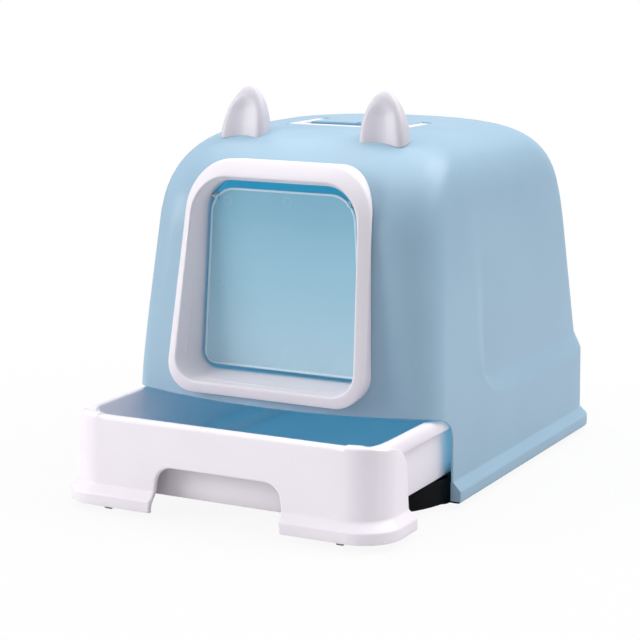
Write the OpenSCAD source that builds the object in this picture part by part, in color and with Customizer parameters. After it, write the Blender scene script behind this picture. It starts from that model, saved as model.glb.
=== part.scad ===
// Drawer litter box: a domed cover with a swing flap, standing over a pull-out litter drawer.
//
// X runs to the right of someone facing the entry, Y to the rear, Z up; the entry faces -Y.
// Inside the modules, heights count from the cover's lower rim and depths from the front end of
// that rim. placed() then moves every piece so that the origin lies on the ground, at the middle
// of the whole object's outline.

/* [Cover] */
// Width of the cover across its flange
cover_w = 400; // [390:1:410]
// Length of the flange from its front end to the rear
cover_l = 441; // [430:1:450]
// Height of the cover's shoulder above its lower rim
cover_h = 392; // [388:1:396]
// Further rise of the roof above the shoulder
crown = 4; // [3:0.5:6]
// Wall thickness of the mouldings
wall = 2.6; // [2.2:0.1:3]
// How far the flange stands out from the lower wall
flange_out = 9.4; // [8:0.2:11]
// Height of the flange's upright band
flange_band = 12; // [9:0.5:14]
// Height of the slope above the band
flange_slope = 10; // [8:0.5:12]
// Depth of the ledge where the upper side walls draw in
side_ledge = 6.5; // [5:0.1:8]
// How far the front wall's foot stands ahead of the flange
front_reach = 84; // [82:0.5:86]
// Height of the front wall's foot, above the drawer
front_foot = 102; // [101:0.5:104]
// Backward lean of the front wall, in degrees
front_lean = 8.2; // [7.8:0.1:8.6]
// Rounding from the front wall into the roof
front_roof_r = 95; // [90:1:100]
// Rounding from the side walls into the roof
side_roof_r = 90; // [82:1:96]
// Rounding from the rear wall into the roof
rear_roof_r = 141; // [125:1:150]

/* [Entry] */
// Width of the entry frame outside
frame_w = 236; // [232:1:240]
// Height of the entry frame outside
frame_h = 257.4; // [254:0.2:260]
// Width of the frame's opening at its front edge
mouth_w = 212; // [209:1:214]
// Height of the frame's opening at its front edge
mouth_h = 225; // [222:1:228]
// Width of the tunnel behind the mouth
tunnel_w = 197.2; // [196:0.2:199]
// Height of the tunnel behind the mouth
tunnel_h = 215.6; // [214:0.2:217]
// Gap between the flap and the tunnel at the sides
flap_gap = 3.8; // [3:0.1:5]
// Gap between the flap and the tunnel's sill
flap_sill_gap = 4.8; // [3:0.2:8]
// Gap between the flap and the tunnel's roof
flap_roof_gap = 8.8; // [7:0.2:12]
// Thickness of the flap's pane
flap_t = 3; // [2.5:0.1:3.5]
// Diameter of the flap's two pins
flap_pin_d = 5; // [4:0.5:5.5]

/* [Ears] */
// Width of an ear at its foot
ear_w = 56; // [50:1:60]
// Depth of an ear at its foot
ear_d = 38; // [34:1:42]
// Height of an ear above the cover's shoulder
ear_h = 51; // [46:1:56]
// Distance of each ear from the middle plane
ear_x = 88; // [84:1:92]

/* [Handle] */
// Width of the carry handle
handle_w = 148; // [140:1:152]
// Width of the handle's flat bars
handle_bar = 13; // [11:0.5:14]
// Thickness of the handle
handle_t = 6.4; // [5.6:0.2:7]
// Diameter of the handle's pins
handle_pin_d = 3; // [2.4:0.2:3.2]

/* [Drawer] */
// How far the drawer stands open
drawer_open = 100; // [80:5:120]
// Height of the drawer's rim above the cover's lower rim
drawer_h = 98; // [97:0.5:100]
// How far the closed drawer's front stands ahead of the flange
drawer_reach = 86; // [84:0.5:88]
// Gap between the tub and the cover's wall
tub_gap = 10.4; // [9:0.2:13]
// Gap between the drawer's rim and the cover's wall
rim_gap = 8; // [7:0.5:9]
// Width of the ledges that carry the tub on the base's rails
tub_ledge = 32; // [30:1:40]
// Upright corner radius of the drawer's front
drawer_corner = 42; // [38:1:46]
// Width of the grip cut-out at the foot
grip_w = 158; // [140:1:165]
// Height of the grip cut-out
grip_h = 50; // [44:1:54]

/* [Base] */
// Height of the cover's lower rim above the ground
floor_gap = 8; // [7.5:0.1:9]
// Diameter of the pads underneath
pad_d = 26; // [20:1:30]
// Radius of the drawer's wheels
roller_r = 7; // [6:0.5:7]
// Width of the drawer's wheels
roller_w = 6; // [5:0.5:7]
// Diameter of the wheels' axles
axle_d = 3; // [2.5:0.5:3.5]

/* [Hidden] */
$fn = 48;

// Clearances: a turning pin, a held pin, a seat between fixed pieces, the entry frame's seat on
// the curved front wall, and a sliding gap
turn_gap = 0.05;
hold_gap = 0.02;
seat_gap = 0.25;
frame_gap = 0.85;
// Least thickness of the entry frame's outer edge
frame_edge = 1.4;
slide_gap = 0.3;
// Overshoot of a cutter past the face that it opens
past = 1;

blue = [0.66, 0.82, 0.91];
white = [0.93, 0.92, 0.94];
black = [0.06, 0.07, 0.09];
steel = [0.75, 0.76, 0.78];
frosted = [0.62, 0.78, 0.85, 0.6];

// Reach of a cutter that has to pass right through the object
far = 2 * cover_l;

half_w = cover_w / 2 - flange_out;
flange_top = flange_band + flange_slope;
drawer_shift = [0, -drawer_open, 0];
mid_y = (cover_l - drawer_reach - flange_out - drawer_open) / 2;
module placed() {
    translate([0, -mid_y, floor_gap]) children();
}

function clamp01(v) = min(1, max(0, v));
function mix(a, b, t) = a + (b - a) * t;

// ---- Cover surface -------------------------------------------------------------------------

// Height at which the cover's ledge starts and the height that it takes
ledge_z = 98;
ledge_rise = 22;
// Depth at which the ledge's front end turns up, and the length of that turn
ledge_y = 78;
ledge_turn = 34;
// Draft of the walls below and above the ledge, in mm per mm of height
low_draft = 0.012;
side_draft = 0.04;
rear_draft = 0.023;
// Upright corner radii and the front wall's bow, each at its foot and at the shoulder
front_corner = [38, 65];
rear_corner = [32, 108];
front_bow = [0.001, 0];
// Height over which the ledge fades in at the front
ledge_fade = 220;
// Exponents of the roof's roundings at the sides, the rear and the front
side_round = 3.2;
rear_round = 2.6;
front_round = 1.8;

// How far a wall has drawn in at level z on a roof rounding of radius r and exponent p
function roof_draw(z, top, r, p) = let (t = (z - top + r) / r)
    t <= 0 ? 0 : r * (1 - pow(max(0, 1 - pow(t, p)), 1 / p));
function side_x(z, w) = half_w - w - low_draft * min(max(0, z - flange_top), 100)
    - side_draft * max(0, z - 120) - roof_draw(z, cover_h - w, side_roof_r, side_round);
function rear_y(z, w) = cover_l - flange_out - w - low_draft * min(max(0, z - flange_top), 100)
    - rear_draft * max(0, z - 120) - roof_draw(z, cover_h - w, rear_roof_r, rear_round);
function front_y(z, w) = -front_reach + w + tan(front_lean) * max(0, z - front_foot)
    + roof_draw(z, cover_h - w, front_roof_r, front_round);
function level_share(z) = clamp01((z - front_foot) / (cover_h - front_foot));
function corner_r(pair, z, w) = min(mix(pair[0], pair[1], level_share(z)), 0.9 * side_x(z, w));
function bow(z) = mix(front_bow[0], front_bow[1], level_share(z));
// Height of the surface that belongs to level z, once the roof has its crown
function crowned(z, w) = z + crown * (1 - pow(side_x(z, w) / half_w, 2));

// Half of the cover's plan at level z, drawn in by w, as [x, y, normal x, normal y], from the
// middle of the front to the middle of the rear
side_steps = [0.1, 0.2, 0.262, 0.295, 0.33, 0.5, 0.7, 0.86];
function half_plan(z, w) = let (
        a = side_x(z, w), yf = front_y(z, w), yr = rear_y(z, w),
        rf = corner_r(front_corner, z, w), rr = corner_r(rear_corner, z, w),
        xs = a - rf, ys = yf + bow(z) * xs * xs + rf, ye = yr - rr)
    [for (i = [0:3]) [xs * i / 4, yf + bow(z) * pow(xs * i / 4, 2), 0, -1],
        for (i = [0:6]) let (q = 15 * i) [xs + rf * sin(q), ys - rf * cos(q), sin(q), -cos(q)],
        for (s = side_steps) [a, mix(ys, ye, s), 1, 0],
        for (i = [0:5]) let (q = 18 * i) [a - rr + rr * cos(q), ye + rr * sin(q), cos(q), sin(q)],
        for (i = [1:2]) [(a - rr) * (1 - i / 2), yr, 0, 1]];
// Share of the ledge that has drawn in: it is sharp at the sides and the rear, and fades at the front
function ledge_share(y, z) = let (fade = 1 - clamp01((y - ledge_y) / ledge_turn))
    mix(clamp01((z - ledge_z) / ledge_rise), clamp01((z - ledge_z) / ledge_fade), fade);
// How far the flange still stands out at height z
function flange_share(z) = 1 - clamp01((z - flange_band) / flange_slope);
function plan_point(p, z, out) = let (
        d = side_ledge * ledge_share(p[1], z) * (p[3] < 0 ? p[2] : 1) - out * flange_share(z))
    [p[0] - p[2] * d, p[1] - p[3] * d];
function ring(z, w) = let (
        out = flange_out, h = crowned(z, w),
        half = [for (p = half_plan(z, w)) plan_point(p, z, out)], n = len(half))
    concat([for (p = half) [p[0], p[1], h]], [for (i = [n - 2:-1:1]) [-half[i][0], half[i][1], h]]);
function roof_ring(k, w) = let (
        base = ring(cover_h - w, w), ym = (front_y(cover_h - w, w) + rear_y(cover_h - w, w)) / 2,
        a = side_x(cover_h - w, w) * k, h = cover_h - w + crown * (1 - pow(a / half_w, 2)))
    [for (p = base) [p[0] * k, ym + (p[1] - ym) * k, h]];
// Levels are close together where the roof turns
ledge_top = ledge_z + ledge_rise;
turn_z = cover_h - side_roof_r;
levels = [flange_band, flange_top, ledge_z, ledge_top,
    for (f = [0.17, 0.39, 0.62, 0.84]) mix(ledge_top, turn_z, f),
    for (q = [0, 15, 28, 40, 52, 64]) turn_z + side_roof_r * sin(q), cover_h - 4.5];
function cover_rings(w) = concat([[for (q = ring(flange_band, w)) [q[0], q[1], 0]]],
    [for (z = levels) ring(z - w * clamp01((z - ledge_top) / (turn_z - ledge_top)), w)],
    [ring(cover_h - w, w)], [for (k = [0.85, 0.6, 0.35]) roof_ring(k, w)]);

// Depth of the cover's front surface at height h, x off the middle
function front_at(x, h) = let (z = h - crown * (1 - pow(side_x(h, 0) / half_w, 2)))
    front_y(z, 0) + bow(z) * x * x;
// Whether a point of the plan lies inside the cover at level z
function inside(x, y, z) = let (
        a = side_x(z, 0), rf = corner_r(front_corner, z, 0), xs = a - rf,
        ys = front_y(z, 0) + bow(z) * xs * xs + rf)
    y > ys ? x < a : x < xs ? y > front_y(z, 0) + bow(z) * x * x
        : norm([x - xs, ys - y]) < rf;
// Height of the roof above a point near the front, by halving the interval
function roof_z(x, y, lo = cover_h - front_roof_r, hi = cover_h, n = 12) = n == 0 ? crowned((lo + hi) / 2, 0)
    : let (m = (lo + hi) / 2) inside(x, y, m) ? roof_z(x, y, m, hi, n - 1)
        : roof_z(x, y, lo, m, n - 1);

// ---- General shapes ------------------------------------------------------------------------

function side_faces(n, rows, first, flip) = [for (i = [0:rows - 2], j = [0:n - 1]) let (
        a = first + i * n + j, b = first + i * n + (j + 1) % n, c = b + n, d = a + n)
    each flip ? [[a, b, c], [a, c, d]] : [[a, c, b], [a, d, c]]];
function fan(n, first, tip, flip) = [for (j = [0:n - 1]) let (a = first + j, b = first + (j + 1) % n)
    flip ? [a, b, tip] : [a, tip, b]];

// Solid between a stack of rings that turn to the left seen from above, with flat ends
module loft(rings) {
    n = len(rings[0]);
    last = (len(rings) - 1) * n;
    polyhedron(points = [for (r = rings) each r],
        faces = concat(side_faces(n, len(rings), 0, false), [[for (j = [0:n - 1]) j]],
            [[for (j = [n - 1:-1:0]) last + j]]));
}

// Open shell between an outer and an inner stack of rings, closed to a tip at the top
module shell(outer, inner) {
    n = len(outer[0]);
    m = n * len(outer);
    tip_out = m + n * len(inner);
    top_out = outer[len(outer) - 1];
    top_in = inner[len(inner) - 1];
    middle = function (r) [0, (r[0][1] + r[n / 2][1]) / 2, r[0][2] + 0.03 * crown];
    polyhedron(points = concat([for (r = outer) each r], [for (r = inner) each r],
            [middle(top_out), middle(top_in)]),
        faces = concat(side_faces(n, len(outer), 0, false), side_faces(n, len(inner), m, true),
            fan(n, m - n, tip_out, false), fan(n, tip_out - n, tip_out + 1, true),
            [for (j = [0:n - 1]) let (k = (j + 1) % n) each [[j, k, m + k], [j, m + k, m + j]]]));
}

// Solid band between rings that follow each other in a closed loop
module band(rings) {
    n = len(rings[0]);
    rows = len(rings);
    polyhedron(points = [for (r = rings) each r],
        faces = [for (i = [0:rows - 1], j = [0:n - 1]) let (
                k = (i + 1) % rows, a = i * n + j, b = i * n + (j + 1) % n,
                c = k * n + (j + 1) % n, d = k * n + j)
            each [[a, c, b], [a, d, c]]]);
}

// Outline of a rectangle from y0 to y1, x wide to each side, with its own radius at each end
function rounded(x, y0, y1, r0, r1) = concat(
    [for (i = [0:8]) let (q = 270 + 11.25 * i) [x - r0 + r0 * cos(q), y0 + r0 + r0 * sin(q)]],
    [for (i = [0:8]) let (q = 11.25 * i) [x - r1 + r1 * cos(q), y1 - r1 + r1 * sin(q)]],
    [for (i = [0:8]) let (q = 90 + 11.25 * i) [-x + r1 + r1 * cos(q), y1 - r1 + r1 * sin(q)]],
    [for (i = [0:8]) let (q = 180 + 11.25 * i) [-x + r0 + r0 * cos(q), y0 + r0 + r0 * sin(q)]]);
module slab(x, y0, y1, r0, r1, z0, z1) {
    translate([0, 0, z0]) linear_extrude(z1 - z0) polygon(rounded(x, y0, y1, r0, r1));
}

// Shape drawn in the Y-Z plane, extruded from x0 to x1
module across(x0, x1) {
    translate([x0, 0, 0]) rotate([90, 0, 90]) linear_extrude(x1 - x0) children();
}
// Shape drawn in the X-Z plane, extruded from y0 to y1
module along(y0, y1) {
    translate([0, y1, 0]) rotate([90, 0, 0]) linear_extrude(y1 - y0) children();
}
// Round bar along X
module bar(x0, x1, y, z, r) {
    translate([x0, y, z]) rotate([0, 90, 0]) cylinder(h = x1 - x0, r = r);
}

// ---- Cover ---------------------------------------------------------------------------------

// Curve over the drawer's mouth in the Y-Z plane, from the flange's end up to the front wall
mouth_run = 60;
mouth_low = 72;
mouth_top = drawer_h + 4;
mouth_curve = [for (q = [0:10:90])
    [-mouth_run + mouth_run * cos(q), mouth_low + (mouth_top - mouth_low) * sin(q)]];
module mouth_cut() {
    across(-far, far) polygon(concat([[-far, -far], [0, -far]], mouth_curve, [[-far, mouth_top]]));
}

// Entry outlines: a rectangle with round corners whose sides lean in towards the top
entry_z = 240;
entry_lean = 0.059;
function entry_outline(hw, hh, rt, rb, lean = entry_lean) = let (
        corner = function (sx, sz, r, from) [for (i = [0:5]) let (q = from + 18 * i)
            [sx * (hw - r) + r * cos(q), sz * (hh - r) + r * sin(q)]],
        edge = function (p, q) [for (i = [1:5]) [mix(p[0], q[0], i / 6), mix(p[1], q[1], i / 6)]],
        c = [corner(1, -1, rb, 270), corner(1, 1, rt, 0), corner(-1, 1, rt, 90), corner(-1, -1, rb, 180)])
    [for (k = [0:3]) each [for (p = concat(c[k], edge(c[k][5], c[(k + 1) % 4][0])))
        [p[0] * (1 - lean * p[1] / hw), p[1]]]];
// The tunnel lies a little lower than the frame; its corner radii are at the top and the foot
tunnel_z = entry_z - 2.7;
tunnel_r = [34, 20];
// How far the cover's entry hole clears the tunnel
hole_clear = 11;

// Handle and its recess: the floors, the island between the arms and the finger well
handle_front = 106;
handle_pin_y = 186;
handle_z = cover_h - 3.4;
handle_axis_z = handle_z + handle_t / 2;
recess_gap = 0.6;
recess_front = handle_front - 6;
recess_back = handle_pin_y + 8;
recess_floor = handle_z - recess_gap;
recess_top = cover_h + crown - wall / 2 - 0.5;
recess_x = handle_w / 2 + recess_gap;
island_x = handle_w / 2 - handle_bar - recess_gap;
well_back = 143;
well_floor = handle_z - 16;
module recess_liner() {
    slab(recess_x + wall, recess_front - wall, recess_back + wall, 10, 6, recess_floor - wall, recess_top);
    slab(island_x + wall, recess_front - wall, well_back + wall, 8, 8, well_floor - wall, recess_floor);
}
module recess_cut() {
    difference() {
        slab(recess_x, recess_front, recess_back, 9, 4, recess_floor, far);
        translate([-island_x, well_back, recess_floor - past]) cube([2 * island_x, far, far]);
    }
    slab(island_x, recess_front, well_back, 7, 7, well_floor, far);
    // Latch notch at the front of the island
    translate([-2, well_back - past, recess_floor]) cube([4, 11, far]);
}

// Ears and their screws: places, boss and sizes
ear_y = 36;
ear_top = cover_h + ear_h;
screw_y = 38;
screw_r = 1.5;
screw_l = 34;
boss_r = 5;
boss_z = cover_h - 20;
module ear_boss() {
    translate([ear_x, screw_y, boss_z]) cylinder(h = roof_z(ear_x, screw_y - boss_r) - boss_z - 2, r = boss_r);
}

// End plates of the flange, which is hollow behind them
module flange_end(side) {
    inner = half_w - wall - 0.4;
    mirror([side, 0, 0]) along(0, wall)
        polygon([[inner, 0], [cover_w / 2, 0], [cover_w / 2, flange_band], [half_w, flange_top],
            [inner, flange_top]]);
}

module hood_shell() {
    placed() color(blue) difference() {
        union() {
            difference() {
                shell(cover_rings(0), cover_rings(wall));
                mouth_cut();
            }
            for (side = [0, 1]) flange_end(side);
            recess_liner();
            for (side = [0, 1]) mirror([side, 0, 0]) ear_boss();
        }
        along(-far, 20) translate([0, tunnel_z])
            polygon(entry_outline(tunnel_w / 2 + hole_clear, tunnel_h / 2 + hole_clear, 30, 20));
        recess_cut();
        for (side = [0, 1]) mirror([side, 0, 0]) {
            translate([ear_x, screw_y, boss_z - past]) cylinder(h = far, r = screw_r + seat_gap);
            bar(island_x - 4, recess_x + wall + past, handle_pin_y, handle_axis_z,
                handle_pin_d / 2 + hold_gap);
        }
    }
}

// ---- Entry frame and flap ------------------------------------------------------------------

tunnel_end = -28;
// How far the frame's seat on the cover starts outside the tunnel
seat_in = 7.4;
flap_y = -39;
flap_w = tunnel_w - 2 * flap_gap;
flap_h = tunnel_h - flap_sill_gap - flap_roof_gap;
flap_z = tunnel_z - tunnel_h / 2 + flap_sill_gap + flap_h / 2;
flap_hinge_z = flap_z + flap_h / 2 - 10.7;
// Half widths at which the flap's pins end, and the flap's knuckles
pin_x = [tunnel_w / 2 - 15.6, tunnel_w / 2 - 0.2];
knuckle_x = [tunnel_w / 2 - 18.6, tunnel_w / 2 - 13.5];
knuckle_r = 4.5;
// The frame's outer edge and its mouth each lie in a plane that leans back
function outer_plane(z) = -64.7 + tan(9.8) * (z - entry_z);
function mouth_plane(z) = -72 + tan(8) * (z - entry_z + 3);
// Ring of the frame's face, u of the way from the outer edge to the mouth, raised by b
function face_ring(u, b) = [for (p = entry_outline(mix(frame_w, mouth_w, u) / 2,
        mix(frame_h, mouth_h, u) / 2, mix(55.6, 41.7, u), mix(34.5, 27.4, u), mix(0.044, 0.047, u)))
    let (z = p[1] + entry_z - 3 * u)
    [p[0], mix(min(outer_plane(z), front_at(p[0], z) - frame_gap - frame_edge), mouth_plane(z), u) - b, z]];
// Ring of the frame's back, which lies on the cover
function seat_ring(hw, hh, rt, rb, zc) = [for (p = entry_outline(hw, hh, rt, rb, 0.05))
    [p[0], front_at(p[0], p[1] + zc) - frame_gap, p[1] + zc]];
function tunnel_ring(out, y) = [for (p = entry_outline(tunnel_w / 2 + out, tunnel_h / 2 + out,
        tunnel_r[0] + out, tunnel_r[1] + out)) [p[0], y, p[1] + tunnel_z]];
module entry_frame() {
    placed() color(white) difference() {
        union() {
            band([seat_ring(frame_w / 2 - 1.5, frame_h / 2 - 5, 52, 32, entry_z - 3),
                face_ring(0, 0), face_ring(0.02, 3.5), face_ring(0.15, 6.2), face_ring(0.4, 7),
                face_ring(0.7, 5), face_ring(0.9, 2.4), face_ring(1, 0),
                tunnel_ring(2.2, -50), tunnel_ring(0, -45), tunnel_ring(0, tunnel_end),
                tunnel_ring(wall, tunnel_end),
                seat_ring(tunnel_w / 2 + seat_in, tunnel_h / 2 + seat_in, 40, 26, tunnel_z)]);
            for (side = [0, 1]) mirror([side, 0, 0])
                bar(tunnel_w / 2 - 8, tunnel_w / 2 + 1.4, flap_y, flap_hinge_z, 5);
        }
        for (side = [0, 1]) mirror([side, 0, 0])
            bar(pin_x[0], pin_x[1] + 0.1, flap_y, flap_hinge_z, flap_pin_d / 2 + hold_gap);
    }
}

module flap_pin(side) {
    placed() color(steel) mirror([side, 0, 0])
        bar(pin_x[0], pin_x[1], flap_y, flap_hinge_z, flap_pin_d / 2);
}

module flap_panel() {
    bead_w = 3;
    bead_t = flap_t + 1.6;
    outline = function (d) entry_outline(flap_w / 2 - d, flap_h / 2 - d, 29 - d, 15 - d);
    placed() color(frosted) difference() {
        union() {
            translate([0, 0, flap_z]) {
                along(flap_y - flap_t / 2, flap_y + flap_t / 2) polygon(outline(0));
                along(flap_y - bead_t / 2, flap_y + bead_t / 2) difference() {
                    polygon(outline(0));
                    polygon(outline(bead_w));
                }
            }
            for (side = [0, 1]) mirror([side, 0, 0])
                bar(knuckle_x[0], knuckle_x[1], flap_y, flap_hinge_z, knuckle_r);
        }
        for (side = [0, 1]) mirror([side, 0, 0])
            bar(pin_x[0] - 0.4, far, flap_y, flap_hinge_z, flap_pin_d / 2 + turn_gap);
    }
}

// ---- Ears ----------------------------------------------------------------------------------

ear_scoop = 9;
ear_levels = [0, 0.12, 0.25, 0.4, 0.55, 0.7, 0.82, 0.91, 0.97];
ear_tip = [-3, 2];
// How far the middle of an ear's foot stands clear of the round roof
foot_rise = 2.5;
// Plan of an ear, s of the way up, round its own middle: scooped in front, round at the back
function ear_plan(s) = let (
        w = ear_w / 2 * pow(1 - s * s, 0.62), front = ear_d / 2 * pow(1 - pow(s, 1.5), 0.8),
        back = ear_d * 0.55 * pow(1 - s * s, 0.6), scoop = ear_scoop * (1 - pow(s, 2.2)))
    concat([for (u = [-3:3]) [w * u / 3, -front + scoop * (1 - u * u / 9)]], [[w, -0.4 * front]],
        [for (q = [0:15:180]) [w * cos(q), back * sin(q)]], [[-w, -0.4 * front]]);
function ear_foot(p) = [ear_x + p[0], ear_y + p[1], roof_z(ear_x + p[0], ear_y + p[1]) + seat_gap];
module ear() {
    feet = [for (p = ear_plan(0)) ear_foot(p)];
    steps = len(feet);
    rings = [for (s = ear_levels) let (plan = ear_plan(s)) [for (j = [0:steps - 1])
        [ear_x + plan[j][0] + ear_tip[0] * s, ear_y + plan[j][1] + ear_tip[1] * s,
            mix(feet[j][2], ear_top, s)]]];
    tip = len(rings) * steps;
    polyhedron(points = concat([for (r = rings) each r],
            [[ear_x + ear_tip[0], ear_y + ear_tip[1], ear_top], ear_foot([0, 0]) + [0, 0, foot_rise]]),
        faces = concat(side_faces(steps, len(rings), 0, false), fan(steps, tip - steps, tip, false),
            fan(steps, 0, tip + 1, true)));
}
module ear_piece(side) {
    placed() color(white) mirror([side, 0, 0]) difference() {
        ear();
        translate([ear_x, screw_y, boss_z]) cylinder(h = screw_l + 2, r = screw_r + hold_gap);
    }
}
module ear_screw(side) {
    head = 2.4;
    placed() color(steel) mirror([side, 0, 0]) translate([ear_x, screw_y, boss_z - head]) {
        cylinder(h = head, r = 3.2);
        cylinder(h = screw_l, r = screw_r);
    }
}

// ---- Carry handle --------------------------------------------------------------------------

module handle_pin(side) {
    placed() color(steel) mirror([side, 0, 0])
        bar(island_x - 3.8, recess_x + wall, handle_pin_y, handle_axis_z, handle_pin_d / 2);
}

module carry_handle() {
    placed() color(white) difference() {
        union() {
            translate([0, 0, handle_z]) linear_extrude(handle_t) difference() {
                polygon(rounded(handle_w / 2, handle_front, handle_pin_y, 9, 0.1));
                polygon(rounded(handle_w / 2 - handle_bar, handle_front + handle_bar,
                    handle_pin_y + past, 6, 0.1));
            }
            for (side = [0, 1]) mirror([side, 0, 0])
                bar(handle_w / 2 - handle_bar, handle_w / 2, handle_pin_y, handle_axis_z, handle_t / 2);
        }
        for (side = [0, 1]) mirror([side, 0, 0])
            bar(handle_w / 2 - handle_bar - past, handle_w / 2 + past, handle_pin_y, handle_axis_z,
                handle_pin_d / 2 + turn_gap);
    }
}

// ---- Drawer --------------------------------------------------------------------------------

// Tub: its depths, its half widths above and below the carrying ledges, and its levels
tub_front = -64;
tub_back = 406;
tub_back_low = tub_back - 18;
tub_x = half_w - wall - tub_gap;
tub_low_x = tub_x - tub_ledge;
tub_floor = 12;
ledge_low = 25;
// Rim: it stands out round the tub and hangs down; a step lies behind its front part
rim_x = half_w - wall - rim_gap;
rim_back = tub_back + 4;
rim_hang = 13;
step_y = -drawer_reach + 13.5;
step_z = drawer_h - 16;
// Rear ends of the drawer's front at the sides: upright, with a round top of this run and rise
front_end = -15;
end_run = 44;
end_rise = 36;
end_curve = [for (q = [0:10:90])
    [front_end - end_run + end_run * cos(q), drawer_h - end_rise + end_rise * sin(q)]];
// Wheels at the front
roller_x = half_w - 48.6;
roller_y = -76;
roller_z = roller_r - floor_gap;
// Plan of the drawer's front at height z, pushed out by e
function front_plan(e, z) = [for (p = rounded(half_w + e, -drawer_reach - e, 80, drawer_corner + e / 4, 10))
    [p[0], p[1], z]];
function front_stack(d, top) = [front_plan(flange_out - d, d > 0 ? -past : 0),
    front_plan(flange_out - d, flange_band), front_plan(0.8 - d, flange_top), front_plan(-d, top)];
// Outline of the grip cut-out, grown by d
function grip_outline(d) = let (
        w = grip_w / 2 + d, h = grip_h + d, r = 20,
        right = concat([[w, -2 * flange_top], [w, 0], [w - 2, flange_band], [w - 2, flange_top]],
            [for (q = [0:15:90]) [w - 3 - r + r * cos(q), h - r + r * sin(q)]]))
    concat(right, [for (i = [len(right) - 1:-1:0]) [-right[i][0], right[i][1]]]);
module drawer_front() {
    rib = 2;
    intersection() {
        difference() {
            loft(front_stack(0, drawer_h));
            loft(front_stack(wall, drawer_h - wall));
        }
        across(-far, far) polygon(concat([[-far, -2 * floor_gap], [front_end, -2 * floor_gap]], end_curve,
            [[front_end - end_run, far], [-far, far]]));
    }
    // Wall round the grip cut-out and ribs beside the wheels
    along(-drawer_reach + past, tub_front + past) difference() {
        polygon(grip_outline(wall));
        translate([-far, -2 * far]) square(2 * far);
    }
    for (side = [0, 1], dx = [-1, 1]) mirror([side, 0, 0])
        translate([roller_x + dx * (roller_w / 2 + 1.5) - rib / 2, -drawer_reach + past, -4])
            cube([rib, drawer_reach + tub_front, drawer_h + 2]);
}
module drawer_tray() {
    placed() translate(drawer_shift) color(white) difference() {
        union() {
            drawer_front();
            slab(tub_x, tub_front, tub_back, 38, 38, ledge_low, drawer_h - past);
            slab(tub_x, step_y - wall, tub_back, 38, 38, step_z - wall, drawer_h - past);
            slab(tub_low_x, tub_front, tub_back_low, 30, 30, tub_floor, ledge_low + wall);
            slab(rim_x, tub_front, rim_back, 42, 42, drawer_h - wall, drawer_h);
            difference() {
                slab(rim_x, tub_front, rim_back, 42, 42, drawer_h - rim_hang, drawer_h - past);
                slab(rim_x - wall, tub_front + wall, rim_back - wall, 40, 40, 0, drawer_h - wall);
            }
        }
        slab(tub_x - wall, tub_front + wall, tub_back - wall, 36, 36, ledge_low + wall, far);
        slab(tub_x - wall, step_y, tub_back - wall, 36, 36, step_z, far);
        slab(tub_low_x - wall, tub_front + wall, tub_back_low - wall, 28, 28, tub_floor + wall,
            ledge_low + 2 * wall);
        along(-far, tub_front) polygon(grip_outline(0));
        for (side = [0, 1]) mirror([side, 0, 0])
            bar(roller_x - 8, roller_x + 8, roller_y, roller_z, axle_d / 2 + hold_gap);
    }
}

module roller(side) {
    placed() translate(drawer_shift) color(steel) mirror([side, 0, 0]) difference() {
        bar(roller_x - roller_w / 2, roller_x + roller_w / 2, roller_y, roller_z, roller_r);
        bar(roller_x - roller_w, roller_x + roller_w, roller_y, roller_z, axle_d / 2 + turn_gap);
    }
}
module roller_axle(side) {
    reach = roller_w / 2 + 3.5;
    placed() translate(drawer_shift) color(steel) mirror([side, 0, 0])
        bar(roller_x - reach, roller_x + reach, roller_y, roller_z, axle_d / 2);
}

// ---- Base ----------------------------------------------------------------------------------

// Half width of the base's walls, their thickness, the floor's thickness and the walls' heights
base_x = half_w - 5.6;
base_wall_t = 2.5;
base_t = 2.6;
base_low = ledge_low - slide_gap;
base_high = 29.5;
// Size of the round front corners, which are quarters of an ellipse, and the walls' ends
base_round = [70, 110];
base_round_y = 30;
base_back = 430;
wall_front = [-70, 6];
wall_back = 400;
rail_w = 12;
// Right half of the base's plan, drawn in by d; the walls stay open along the front
function base_corner(d) = [for (q = [57:-7:1]) [base_x - base_round[0] + (base_round[0] - d) * cos(q),
    base_round_y - (base_round[1] - d) * sin(q)]];
function base_half(d) = let (c = base_corner(d), open = d > 0 ? 20 : 0)
    concat([[c[0][0], c[0][1] - open]], c, [[base_x - d, base_back - d]]);
function both_sides(half) = let (n = len(half))
    concat(half, [for (i = [n - 1:-1:0]) [-half[i][0], half[i][1]]]);
module base_wall(top, y0, y1) {
    intersection() {
        linear_extrude(top) difference() {
            polygon(both_sides(base_half(0)));
            polygon(both_sides(base_half(base_wall_t)));
        }
        translate([-far, y0, -past]) cube([2 * far, y1 - y0, far]);
    }
}
module base_tray() {
    placed() color(black) union() {
        translate([0, 0, -base_t]) linear_extrude(base_t) polygon(both_sides(base_half(0)));
        slab(cover_w / 2 - 3, 3, cover_l - 3, 2, 30, -base_t, 0);
        base_wall(base_low, wall_front[0], wall_front[1]);
        base_wall(base_high, wall_front[1] - past, wall_back);
        for (side = [0, 1]) mirror([side, 0, 0])
            translate([tub_low_x + rail_w, -20, -past]) cube([rail_w, 420, base_low + past]);
    }
}
module pad(side, y) {
    placed() color(black) mirror([side, 0, 0])
        translate([base_x - 20, y, -floor_gap]) cylinder(h = floor_gap - base_t, r = pad_d / 2);
}
pad_front_y = 20;
pad_rear_y = 410;

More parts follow.
